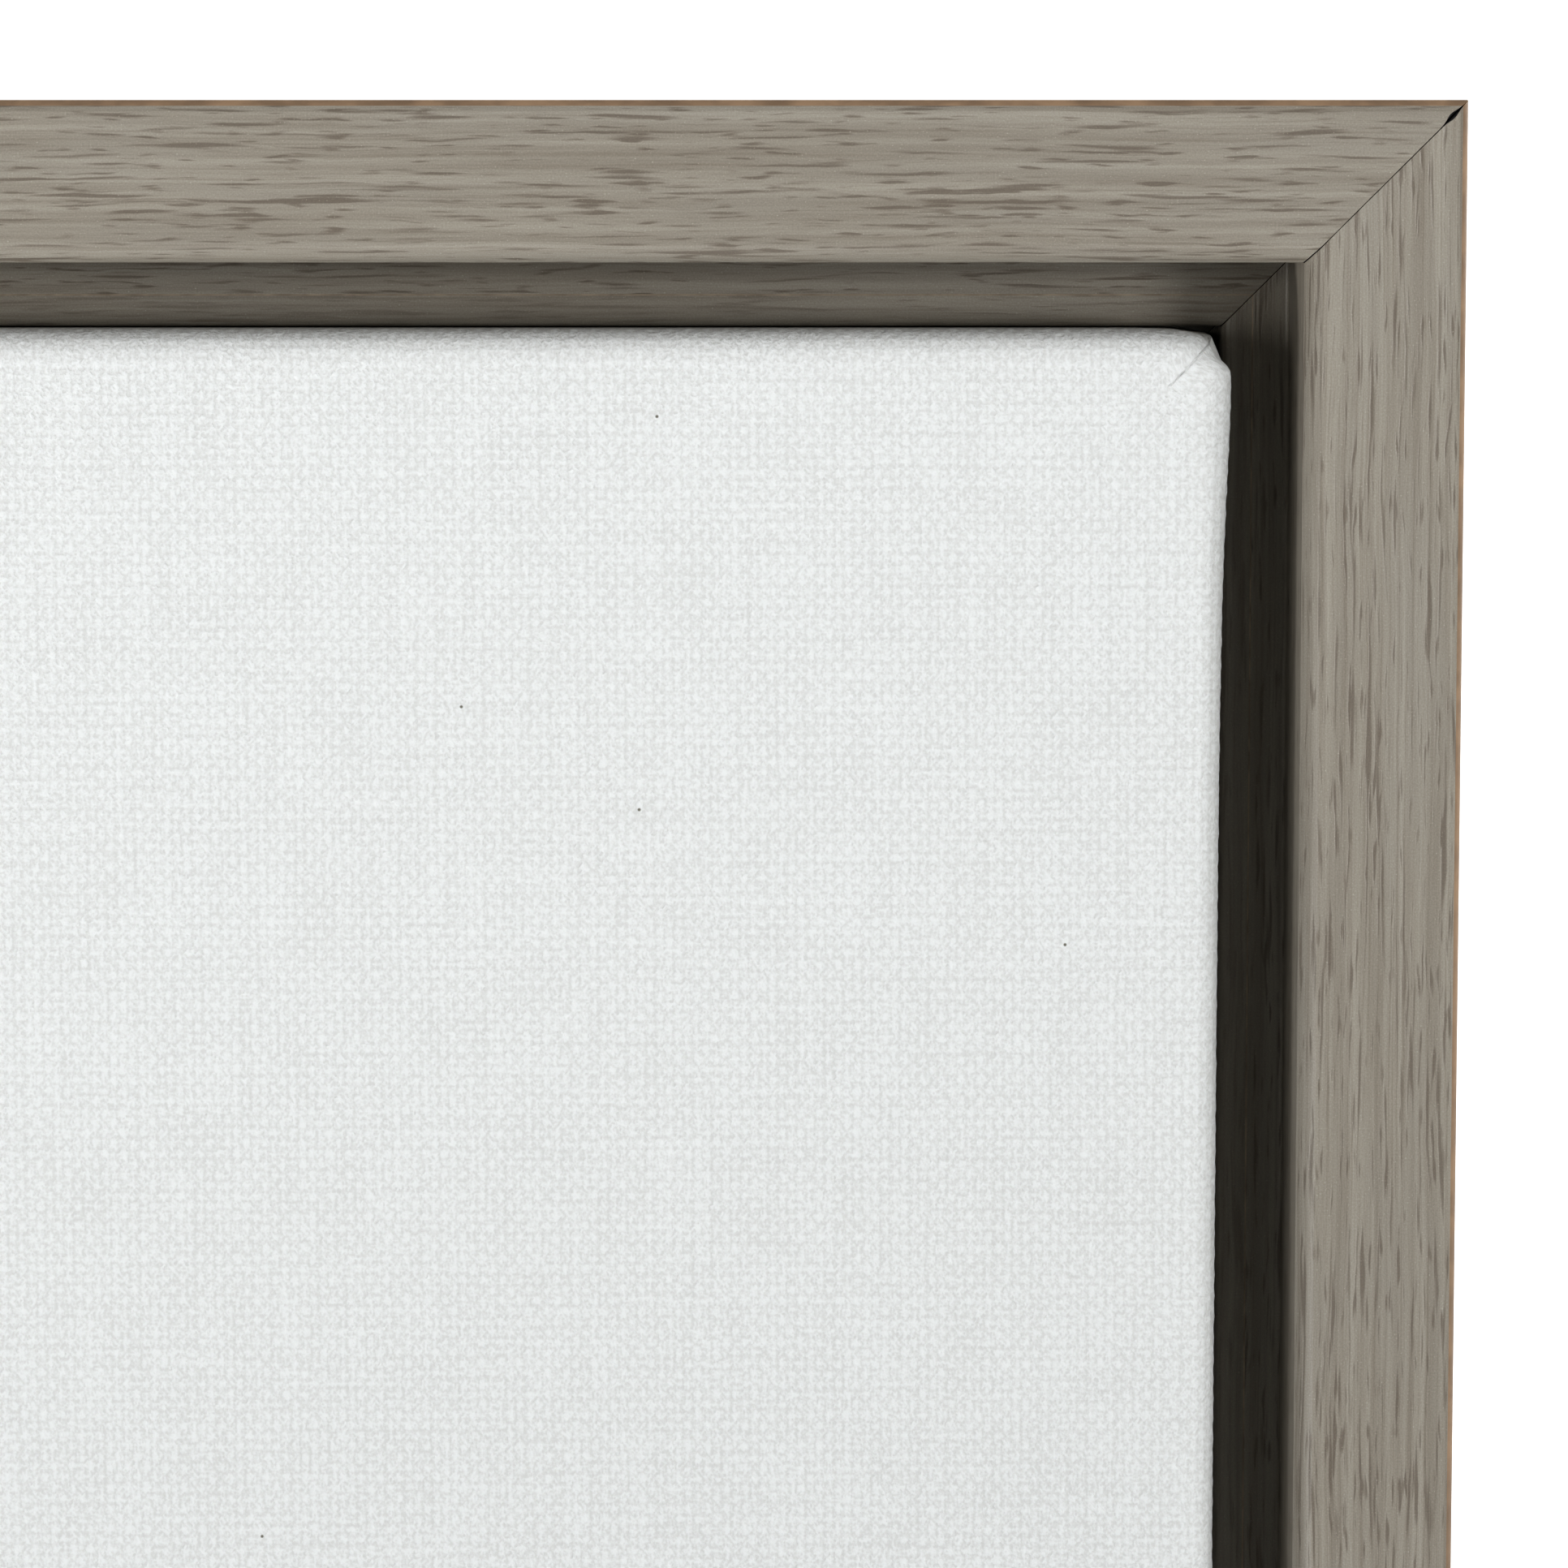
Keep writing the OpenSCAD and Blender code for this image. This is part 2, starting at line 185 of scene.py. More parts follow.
def wood_wrap(name, ticks, lines, long=1.0):
    """Printed grey-brown wood grain: long fine lines, short dark dashes in drifts, print dots."""
    p = Paint(name, Specular_IOR_Level=0.5)
    along, across, _ = p.split(p.uv("grain"))
    sway = p.noise(p.uv("grain"), (22 * MM, 6 * MM, 1), detail=1)
    wobble = p.noise(p.uv("grain"), (2.0 * MM, 1.2 * MM, 1), detail=1)
    bend = p.math("ADD", p.math("MULTIPLY", p.math("SUBTRACT", sway, 0.5), 0.9 * MM),
                  p.math("MULTIPLY", p.math("SUBTRACT", wobble, 0.5), 0.12 * MM))
    grain = p.join(along, p.math("ADD", across, bend))
    streak = p.noise(grain, (70 * MM, 1.1 * MM, 1), detail=3, roughness=0.6)
    cloud = p.noise(grain, (24 * MM, 4 * MM, 1), detail=2)
    line = p.noise(grain, (38 * MM, 0.3 * MM, 1), detail=2)
    fibre = p.noise(grain, (4 * MM, 0.14 * MM, 1), detail=2)
    dots = p.noise(grain, (0.15 * MM, 0.13 * MM, 1), detail=1)
    drift = p.noise(grain, (18 * MM, 3 * MM, 1), detail=1)
    crowd = p.math("MULTIPLY", p.math("SUBTRACT", drift, 0.5), 0.3)
    colour = p.mix(p.step(streak, 0.32, 0.68), rgb(147, 141, 131), rgb(163, 158, 148))
    colour = p.mix(p.step(cloud, 0.4, 0.75, 0.0, 0.4), colour, rgb(156, 152, 144))
    colour = p.mix(p.step(line, 0.5, 0.75, 0.0, lines), colour, rgb(126, 117, 106))
    colour = p.mix(p.step(line, 0.42, 0.28, 0.0, 0.6 * lines), colour, rgb(176, 171, 161))
    pores = 0.0
    for length, width, start in ((8 * MM, 0.44 * MM, 0.572), (3.4 * MM, 0.36 * MM, 0.585)):
        dash = p.noise(grain, (length * long, width, 1), detail=1, roughness=0.4)
        pores = p.math("MAXIMUM", pores, p.step(p.math("ADD", dash, crowd), start, start + 0.16))
    colour = p.mix(p.math("MULTIPLY", pores, ticks), colour, rgb(112, 103, 93))
    colour = p.mix(p.step(fibre, 0.45, 0.75, 0.0, 0.2), colour, rgb(128, 119, 107))
    colour = p.mix(p.step(dots, 0.7, 0.8, 0.0, 0.5), colour, rgb(196, 193, 184))
    shade = p.step(dots, 0.25, 0.75, 0.93, 1.07)
    colour = p.mix(1.0, colour, p.join(shade, shade, shade), "MULTIPLY")
    relief = p.math("SUBTRACT", p.math("MULTIPLY", fibre, 0.5), pores)
    relief = p.math("ADD", relief, p.math("MULTIPLY", dots, 0.25))
    rough = p.step(streak, 0.2, 0.8, 0.33, 0.44)
    return p.finish(colour, rough, relief, 0.035 * MM, 0.6)


def raw_wood(name, light, dark, axis, ring=2.2 * MM):
    """Planed softwood with its grain along X or Z."""
    p = Paint(name, Specular_IOR_Level=0.3)
    x, y, z = p.split(p.place())
    along, across = (x, z) if axis == "x" else (z, x)
    sway = p.noise(p.join(along, across, y), (70 * MM, 25 * MM, 25 * MM), detail=1)
    shift = p.math("MULTIPLY", sway, 12 * MM)
    grain = p.join(along, p.math("ADD", across, shift), p.math("ADD", y, shift))
    rings = p.noise(grain, (260 * MM, ring, 3 * ring), detail=2)
    fibre = p.noise(grain, (9 * MM, 0.22 * MM, 0.22 * MM), detail=3)
    blotch = p.noise(grain, (30 * MM, 9 * MM, 9 * MM), detail=2)
    colour = p.mix(p.step(rings, 0.40, 0.62), light, dark)
    colour = p.mix(p.step(fibre, 0.5, 0.75, 0.0, 0.35), colour, dark)
    shade = p.step(blotch, 0.3, 0.7, 0.92, 1.06)
    colour = p.mix(1.0, colour, p.join(shade, shade, shade), "MULTIPLY")
    rough = p.step(rings, 0.3, 0.7, 0.62, 0.74)
    return p.finish(colour, rough, fibre, 0.05 * MM, 0.6)


WARP = 0.75 * MM             # spacing of the threads across the cloth
WEFT = 0.85 * MM             # and down it


def duck_cloth(name, light, dark, relief, specks):
    """Plain-woven duck, uneven in thickness, with a few dark specks if asked for."""
    p = Paint(name, Specular_IOR_Level=0.35)
    flat = p.uv("cloth")
    x, y, _ = p.split(flat)
    wander = p.math("SUBTRACT", p.noise(flat, (3 * MM, 9 * MM, 1), detail=2), 0.5)
    drift = p.math("SUBTRACT", p.noise(flat, (8 * MM, 3 * MM, 1), detail=2), 0.5)
    x = p.math("ADD", x, p.math("MULTIPLY", wander, 0.5 * MM))
    y = p.math("ADD", y, p.math("MULTIPLY", drift, 0.6 * MM))
    warp = p.math("COSINE", p.math("MULTIPLY", x, 2 * math.pi / WARP))
    weft = p.math("COSINE", p.math("MULTIPLY", y, 2 * math.pi / WEFT))
    over = p.math("MULTIPLY", p.math("COSINE", p.math("MULTIPLY", x, math.pi / WARP)),
                  p.math("COSINE", p.math("MULTIPLY", y, math.pi / WEFT)))
    slub = p.noise(flat, (9 * MM, 0.9 * MM, 1), detail=2)
    thick = p.noise(flat, (0.9 * MM, 12 * MM, 1), detail=2)
    lump = p.noise(flat, (0.25 * MM, 0.29 * MM, 1), detail=1.5, roughness=0.5)
    height = p.math("ADD", p.math("MULTIPLY", warp, 0.06), p.math("MULTIPLY", weft, 0.05))
    height = p.math("ADD", height, p.math("MULTIPLY", over, 0.09))
    height = p.math("ADD", height, p.math("MULTIPLY", slub, 0.25))
    height = p.math("ADD", height, p.math("MULTIPLY", thick, 0.25))
    height = p.math("ADD", height, lump)
    # The colour follows the thread height: painted highlight on the raised threads and painted shade in
    # the hollows between them.
    colour = p.mix(p.step(height, 0.5, 0.95), dark, light)
    if specks:
        at = p.cells(flat, (16 * MM, 16 * MM, 1))
        spot = p.node("TexVoronoi", {"Vector": at, "Scale": 1.0}, voronoi_dimensions="2D")
        near = p.step(spot.outputs["Distance"], 0.004, 0.011, 1.0, 0.0)
        rare = p.math("GREATER_THAN", p.split(spot.outputs["Color"])[0], 0.8)
        colour = p.mix(p.math("MULTIPLY", near, rare), colour, rgb(120, 118, 108))
    rough = p.step(lump, 0.3, 0.7, 0.52, 0.66)
    return p.finish(colour, rough, height, relief, 1.0)


def plated(name, colour, roughness):
    """Plated steel with drawn or stamped marks and slight dulling."""
    p = Paint(name, Metallic=1.0)
    marks = p.noise(p.place(), (0.15 * MM, 0.15 * MM, 1.6 * MM), detail=2)
    dull = p.noise(p.place(), (3 * MM, 3 * MM, 3 * MM), detail=3)
    faded = tuple(c * 0.72 for c in colour[:3]) + (1.0,)
    tint = p.mix(p.step(dull, 0.35, 0.75), colour, faded)
    rough = p.step(dull, 0.3, 0.8, roughness, roughness + 0.18)
    return p.finish(tint, rough, marks, 0.012 * MM, 0.5)


def rubber():
    """Black moulded rubber with a faint bloom."""
    p = Paint("soft_rubber", Specular_IOR_Level=0.4)
    grit = p.noise(p.place(), (0.3 * MM, 0.3 * MM, 0.3 * MM), detail=3)
    bloom = p.noise(p.place(), (2.5 * MM, 2.5 * MM, 2.5 * MM), detail=2)
    colour = p.mix(p.step(bloom, 0.4, 0.8), rgb(34, 34, 37), rgb(58, 58, 60))
    return p.finish(colour, p.step(grit, 0.3, 0.7, 0.55, 0.75), grit, 0.03 * MM, 0.7)


def plain(name, colour, roughness, size):
    """One colour with a little variation at the given size."""
    p = Paint(name, Specular_IOR_Level=0.3)
    vary = p.noise(p.place(), (size, size, size), detail=3)
    pale = tuple(min(1.0, c * 1.2) for c in colour[:3]) + (1.0,)
    deep = tuple(c * 0.8 for c in colour[:3]) + (1.0,)
    tint = p.mix(p.step(vary, 0.3, 0.7), deep, pale)
    return p.finish(tint, p.step(vary, 0.3, 0.7, roughness, roughness + 0.1), vary, 0.02 * MM)


WRAP = {"x": wood_wrap("wrap_print_x", 0.74, 0.36),
        "z": wood_wrap("wrap_print_z", 0.7, 0.45, 1.1)}
WRAP_CALM = wood_wrap("wrap_print_calm", 0.35, 0.3, 1.4)
WRAP_CUT = plain("wrap_cut_edge", rgb(166, 154, 138), 0.5, 2 * MM)
# A warmer tan for the outermost strip of the outer arris, next to the side.
WRAP_TAN_RIM = plain("wrap_tan_arris", rgb(152, 130, 108), 0.4, 3 * MM)
# The mitred end faces are a flat dark grey: painted shade for the shadow inside the joints and chips,
# where the core would show tan.
MITRE_SHADE = plain("mitre_face_shade", rgb(62, 62, 64), 0.7, 1 * MM)
CORE = {axis: raw_wood("core_" + axis, rgb(205, 188, 158), rgb(184, 160, 127), axis) for axis in "xz"}
PINE = {axis: raw_wood("pine_" + axis, rgb(216, 198, 166), rgb(190, 162, 124), axis, 3 * MM)
        for axis in "xz"}
PRIMED = duck_cloth("primed_duck", rgb(228, 230, 230), rgb(213, 214, 213), 0.15 * MM, True)
COTTON = duck_cloth("raw_duck", rgb(218, 209, 190), rgb(188, 177, 154), 0.16 * MM, False)
BIRCH = raw_wood("key_wood", rgb(200, 176, 142), rgb(170, 142, 108), "x", 1.2 * MM)
ZINC = plated("zinc_plate", rgb(200, 204, 210), 0.26)
NICKEL = plated("nickel_plated", rgb(206, 200, 190), 0.20)
NAIL = plated("nail_steel", rgb(170, 172, 176), 0.34)
RUBBER = rubber()


# ---------------------------------------------------------------- mesh helpers
def new_piece(name, vertices, faces, materials, face_material=(), uv_name="", uv=(), crease=32):
    """A mesh object. uv holds one list of (u, v) for each face; crease is an angle in degrees."""
    mesh = bpy.data.meshes.new(name)
    mesh.from_pydata([tuple(v) for v in vertices], [], faces)
    for material in materials:
        mesh.materials.append(material)
    if face_material:
        mesh.polygons.foreach_set("material_index", face_material)
    if uv_name:
        layer = mesh.uv_layers.new(name=uv_name)
        layer.data.foreach_set("uv", [c for face in uv for point in face for c in point])
    mesh.polygons.foreach_set("use_smooth", [True] * len(mesh.polygons))
    mesh.set_sharp_from_angle(angle=math.radians(crease))
    mesh.validate()
    made = bpy.data.objects.new(name, mesh)
    bpy.context.scene.collection.objects.link(made)
    return made


def arc(centre, radius, start, end, steps):
    """Points round a centre, from start to end in degrees."""
    turns = [math.radians(start + (end - start) * i / steps) for i in range(steps + 1)]
    return [(centre[0] + radius * math.cos(t), centre[1] + radius * math.sin(t)) for t in turns]


def arris(width):
    """An arris from the face to the side, as (in from the side, back from the face)."""
    face, side = math.radians(EDGE_TILT), math.radians(SIDE_TILT)
    radius = width / (math.cos(side) - math.sin(face))
    centre = (radius * math.cos(side), radius * math.cos(face))
    return arc(centre, radius, 270 - EDGE_TILT, 180 + SIDE_TILT, 10)


def spread(start, end, steps):
    """Points after start, up to and with end."""
    return [(start[0] + (end[0] - start[0]) * i / steps, start[1] + (end[1] - start[1]) * i / steps)
            for i in range(1, steps + 1)]


# ---------------------------------------------------------------- moulding
FOIL, CALM, CUT, BARE, END_SHADE, TAN_RIM = range(6)     # finishes, in the order of a rail's materials


def rail_section():
    """The closed outline as [(u, v, the finish of the stretch that follows)]."""
    outline = []
    outer, inner = arris(OUTER_EDGE), arris(INNER_EDGE)
    tan_to = 4                  # the outer arris is a warmer tan from the side up to this point
    near_edge = 2.5 * MM         # points lie closer together up to here

    def go(points, finish):
        outline.extend((u, v, finish) for u, v in points)

    go(arc((BACK_R, DEPTH - BACK_R), BACK_R, 90, 180, 8), FOIL)
    go(spread((0, DEPTH - BACK_R), (0, outer[-1][1]), 6)[:-1], FOIL)
    go(outer[:tan_to:-1], TAN_RIM)
    go(outer[tan_to::-1], FOIL)
    go(spread((OUTER_EDGE, 0), (near_edge, 0), 7), FOIL)
    go(spread((near_edge, 0), (FACE_W - INNER_EDGE, 0), 8)[:-1], FOIL)
    go([(FACE_W - u, v) for u, v in inner], FOIL)
    go(spread((FACE_W, inner[-1][1]), (FACE_W, WALL_D - COVE_R), 6)[:-1], FOIL)
    go(arc((FACE_W + COVE_R, WALL_D - COVE_R), COVE_R, 180, 90, 8), FOIL)
    go([(SEAM_IN, WALL_D)], CUT)
    go([(SEAM_IN + 0.12 * MM, WALL_D + WRAP_T)], CALM)
    go(arc((LEDGE_IN - LEDGE_R, WALL_D + WRAP_T + LEDGE_R), LEDGE_R, 270, 360, 8), CALM)
    go([(LEDGE_IN, SHELF_AT)], CALM)
    go([(SHELF_IN - SHELF_CUT, SHELF_AT)], CALM)
    go([(SHELF_IN, SHELF_AT + SHELF_CUT), (SHELF_IN, DEPTH - BACK_R)], CALM)
    go([(SHELF_IN - BACK_R, DEPTH), (SHELF_IN - TURN_OVER, DEPTH)], CUT)
    go([(SHELF_IN - TURN_OVER - WRAP_T, DEPTH - WRAP_T)], BARE)
    go([(TURN_OVER + WRAP_T, DEPTH - WRAP_T)], CUT)
    go([(TURN_OVER, DEPTH)], FOIL)
    return outline


SECTION = rail_section()

# Small losses at the front of the mitres, in millimetres:
# (side, its first end -1 or last end 1): [(u, half width, depth)].
CHIPS = {(0, 1): [(1.1, 0.55, 0.34), (7.4, 0.3, 0.05)], (1, -1): [(1.2, 0.5, 0.22), (3.0, 0.4, 0.06)],
         (1, 1): [(0.9, 0.35, 0.12)], (2, -1): [(11.6, 0.4, 0.08)],
         (2, 1): [(1.4, 0.4, 0.14)], (3, 1): [(2.2, 0.3, 0.10)]}


def setback(side, end, u, v):
    """How far a mitred end lies short of the true mitre, along the rail."""
    tight, unevenness, chip_depth = 0.032 * MM, 0.02 * MM, 1.6 * MM
    back = tight + unevenness * noise.noise(Vector((u * 900, v * 400, side * 7 + end)))
    fade = max(0.0, 1 - v / chip_depth)
    for at, half, deep in CHIPS.get((side, end), ()):
        off = (u / MM - at) / half
        back += deep * MM * math.exp(-off * off) * fade
    return back


def turned(side, along, out, y):
    """A point along a side, at this distance out from the frame's middle."""
    x, z = ((along, out), (out, -along), (-along, -out), (-out, along))[side]
    return Vector((x, y, MIDDLE_Z + z))


def shrunk(outline, by):
    """The section drawn in by a hair, for the softened edge of a cut end."""
    count = len(outline)
    made = []
    for i, (u, v, _) in enumerate(outline):
        before, after = Vector(outline[i - 1][:2]), Vector(outline[(i + 1) % count][:2])
        way = (after - before).normalized()
        made.append((u - way.y * by, v + way.x * by))
    return made


def make_rail(side):
    """One rail: the section swept along a side, with two mitred ends."""
    name = "rail_" + SIDES[side]
    length, half = (FRAME_W, FRAME_H / 2) if side % 2 == 0 else (FRAME_H, FRAME_W / 2)
    count = len(SECTION)
    soft_edge = shrunk(SECTION, 0.03 * MM)
    lips = (0.0, 0.05 * MM, 0.7 * MM, 3 * MM)    # how far the rings at an end lie from the mitre
    inner_back = 0.045 * MM                      # setback of those that don't follow the chips
    clear_of_ends = 4 * MM
    run = 22
    vertices, places = [], []
    reach = [0.0]
    for i in range(count):
        (u0, v0, _), (u1, v1, _) = SECTION[i], SECTION[(i + 1) % count]
        reach.append(reach[-1] + math.hypot(u1 - u0, v1 - v0))

    def ring(along_of, outline):
        for i in range(count):
            u, v = outline[i][:2]
            along = along_of(SECTION[i][0], SECTION[i][1])
            vertices.append(turned(side, along, half - u, FACE_Y + v))
            places.append(along)

    def end_rings(end, order):
        for k in order:
            def along_of(u, v, k=k):
                back = setback(side, end, u, v) if k < 2 else inner_back
                return end * (length / 2 - u - back - lips[k])
            ring(along_of, soft_edge if k == 0 else SECTION)

    end_rings(-1, (0, 1, 2, 3))
    for j in range(1, run):
        part = -1 + 2 * j / run
        ring(lambda u, v, part=part: part * (length / 2 - u - clear_of_ends), SECTION)
    end_rings(1, (3, 2, 1, 0))
    rings = len(vertices) // count
    faces, finish, uv = [], [], []
    offset = 1.7 * side          # so that no two rails have the same stretch of print
    for j in range(rings - 1):
        for i in range(count):
            k = (i + 1) % count
            a, b, c, d = j * count + i, j * count + k, (j + 1) * count + k, (j + 1) * count + i
            faces.append((a, b, c, d))
            finish.append(SECTION[i][2])
            uv.append([(places[a] + offset, reach[i]), (places[b] + offset, reach[i + 1]),
                       (places[c] + offset, reach[i + 1]), (places[d] + offset, reach[i])])
    last = (rings - 1) * count
    # The two mitred end faces take the painted shade.
    faces += [tuple(reversed(range(count))), tuple(range(last, last + count))]
    finish += [END_SHADE, END_SHADE]
    uv += [[(places[i] + offset, reach[i]) for i in reversed(range(count))],
           [(places[last + i] + offset, reach[i]) for i in range(count)]]
    axis = "x" if side % 2 == 0 else "z"
    finishes = [WRAP[axis], WRAP_CALM, WRAP_CUT, CORE[axis], MITRE_SHADE, WRAP_TAN_RIM]
    piece = new_piece(name + "_look", vertices, faces, finishes, finish, "grain", uv, crease=17)
    tidy_normals(piece)
    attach(piece, "frame")
    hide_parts(name)


def tidy_normals(piece):
    """Splits many-sided faces into triangles and turns every face outwards, the front to -Y."""
    work = bmesh.new()
    work.from_mesh(piece.data)
    bmesh.ops.triangulate(work, faces=[f for f in work.faces if len(f.verts) > 4])
    bmesh.ops.recalc_face_normals(work, faces=work.faces)
    work.faces.ensure_lookup_table()
    front = min(work.faces, key=lambda f: round(f.calc_center_median().y, 4) - f.calc_area())
    if front.normal.y > 0.9:
        bmesh.ops.reverse_faces(work, faces=work.faces)
    work.to_mesh(piece.data)
    work.free()


for each_side in range(4):
    make_rail(each_side)


# ---------------------------------------------------------------- canvas
CLOTH_T = 0.6 * MM
CLOTH_D = cloth_high.y - cloth_low.y
CORNER_R = 2.8 * MM          # of the cloth's outline, seen from the front
BACK_CORNER_R = 1.3 * MM     # and where the folds lie, farther back
SWELL = 0.36 * MM            # how far the cloth stands off the level sides, in front of the ledge
SWELL_END = 6 * MM           # it grows over this length from a corner,
HELD_FROM = 5 * MM           # and fades from this far behind the front
HELD_OVER = 9 * MM           # over this depth
FRONT_R = 2.35 * MM
REAR_R = 1.2 * MM
HEM = 18 * MM
RIM = 5 * MM                 # front strip next to the edge that carries real threads
THREAD = 0.06 * MM           # height of the threads there
THREAD_FADE = 4              # rows over which they start and end
FINE = 0.42 * MM             # spacing of the points round the rim
COARSE = 8                   # fine spacings to one coarse one
FINE_BACK = 3.6 * MM         # the rows are fine up to this far behind the front
HOLLOW = 0.35 * MM           # how far the middle of the cloth lies back


def cloth_profile():
    """From the flat of the front, over the edge and side, to the end of the hem: (in, back)."""
    front = [(RIM - (RIM - FRONT_R) * i / 14, 0.0) for i in range(14)]
    turn = [(FRONT_R - math.sin(t) * FRONT_R, FRONT_R - math.cos(t) * FRONT_R)
            for t in (math.radians(90 * i / 12) for i in range(13))]
    side = [(0.0, y * MM) for y in (2.55, 2.85, 3.2, 3.55, 5, 7, 9, 11, 13, 15, 17)]
    rear = [(REAR_R - math.cos(t) * REAR_R, CLOTH_D - REAR_R + math.sin(t) * REAR_R)
            for t in (math.radians(90 * i / 6) for i in range(7))]
    hem = [(w * MM, CLOTH_D) for w in (2.5, 4.5, 7, 9.5, 12, 14.5, 16.5)] + [(HEM, CLOTH_D)]
    return front + turn + side + rear + hem


def corner_radius(inset, back):
    """How round the outline's corners are: sharp on the flat front and inside the hem."""
    if back < FRONT_R and inset > 0:
        return CORNER_R * min(1.0, max(0.0, (RIM - inset) / (RIM - FRONT_R)))
    behind = smooth((back - FRONT_R) / (6 * MM))
    return max(0.0, CORNER_R + (BACK_CORNER_R - CORNER_R) * behind - inset)


def on_outline(side, along, inset, radius):
    """A point of the cloth's outline and the way out of the cloth there, as (along, out) pairs."""
    half_long, half_out = (CLOTH_W / 2, CLOTH_H / 2) if side % 2 == 0 else (CLOTH_H / 2, CLOTH_W / 2)
    along *= (half_long - inset) / half_long
    gap = half_long - inset - abs(along)
    if gap >= radius:
        return (along, half_out - inset), (0.0, 1.0)
    way = Vector((radius - gap, radius)).normalized()
    along_now = half_long - inset - radius + radius * way.x
    out_now = half_out - inset - radius + radius * way.y
    return (math.copysign(along_now, along), out_now), (math.copysign(way.x, along), way.y)


def smooth(value):
    """An eased step from 0 to 1."""
    value = min(1.0, max(0.0, value))
    return value * value * (3 - 2 * value)


def fold_bulge(below):
    """How far the cloth folded in at a corner pushes the upright side out, below that corner."""
    notch_at, notch_half, notch_deep = 1.5 * MM, 0.5 * MM, 0.22 * MM
    bulge_from, bulge_rise, bulge_out = 1.75 * MM, 1.4 * MM, 0.8 * MM
    fade_from, fade_over = 4 * MM, 12 * MM
    dent = -notch_deep * math.exp(-((below - notch_at) / notch_half) ** 2)
    fade = 1 + (max(0.0, below - fade_from) / fade_over) ** 2
    return dent + bulge_out * smooth((below - bulge_from) / bulge_rise) / fade


def weave_height(x, z):
    """The threads, from about -1 to 1, for a point of the flat cloth."""
    wander = noise.noise(Vector((x / (3 * MM), z / (9 * MM), 3.1))) * 0.25 * MM
    drift = noise.noise(Vector((x / (8 * MM), z / (3 * MM), 8.7))) * 0.3 * MM
    over = math.cos(math.pi * (x + wander) / WARP) * math.cos(math.pi * (z + drift) / WEFT)
    lump = noise.noise(Vector((x / (0.7 * MM), z / (0.7 * MM), 1.3)))
    return 0.55 * over + 0.6 * lump


def slack(x, z):
    """Slight unevenness of the stretched cloth."""
    return 0.05 * MM * noise.noise(Vector((x * 14, z * 14, 5.0)))


def rim_points(profile, counts, fine_rows):
    """The rows of points round the cloth, fine in front and coarse behind, and their flat places."""
    lengths = (CLOTH_W, CLOTH_H) * 2
    stops = [(side, length * (i / n - 0.5))
             for side, (n, length) in enumerate(zip(counts, lengths)) for i in range(n)]
    vertices, flat = [], []
    travelled = 0.0
    for row, (inset, back) in enumerate(profile):
        before, after = profile[max(0, row - 1)], profile[min(row + 1, len(profile) - 1)]
        slope = Vector((after[0] - before[0], after[1] - before[1])).normalized()
        front_share, out_share = -slope.x, slope.y
        if row:
            travelled += math.dist(profile[row], profile[row - 1])
        threads = THREAD * min(1, row / THREAD_FADE, max(0.0, fine_rows - 1 - row) / THREAD_FADE)
        if back < CLOTH_D / 2:
            fold_share = out_share * min(1.0, 0.6 + back / (4 * MM))
        else:
            fold_share = 1 - inset / HEM
        for side, start in stops[::1 if row < fine_rows else COARSE]:
            (along, out), way = on_outline(side, start, inset, corner_radius(inset, back))
            full_out = (CLOTH_H, CLOTH_W)[side % 2] / 2
            below = lengths[side] / 2 - abs(along)
            if side % 2:
                bulge = fold_bulge(below) * max(0.0, fold_share)
            else:
                held = smooth((back - HELD_FROM) / HELD_OVER)
                bulge = SWELL * (1 - held) * smooth(below / SWELL_END) * max(0.0, out_share)
            spot = turned(side, along, out + bulge, cloth_low.y + back)
            place = turned(side, along, full_out - RIM + travelled, 0)
            if threads:
                outward = turned(side, way[0], way[1], 0) - turned(side, 0, 0, 0)
                normal = (outward * out_share + Vector((0, -1, 0)) * front_share).normalized()
                spot += normal * threads * weave_height(place.x, place.z)
            spot.y += slack(spot.x, spot.z)
            vertices.append(spot + Vector((0, 0, CLOTH_RISE)))
            flat.append((place.x, place.z))
    return vertices, flat


def rim_faces(row_sizes):
    """Faces between the rows; where a fine row meets a coarse one, a face has all the fine points."""
    faces = []
    a = 0
    for n, m in zip(row_sizes, row_sizes[1:]):
        b = a + n
        if n == m:
            faces += [(a + i, a + (i + 1) % n, b + (i + 1) % n, b + i) for i in range(n)]
        else:
            faces += [tuple([a + (COARSE * i + k) % n for k in range(COARSE + 1)]
                            + [b + (i + 1) % m, b + i]) for i in range(m)]
        a = b
    return faces


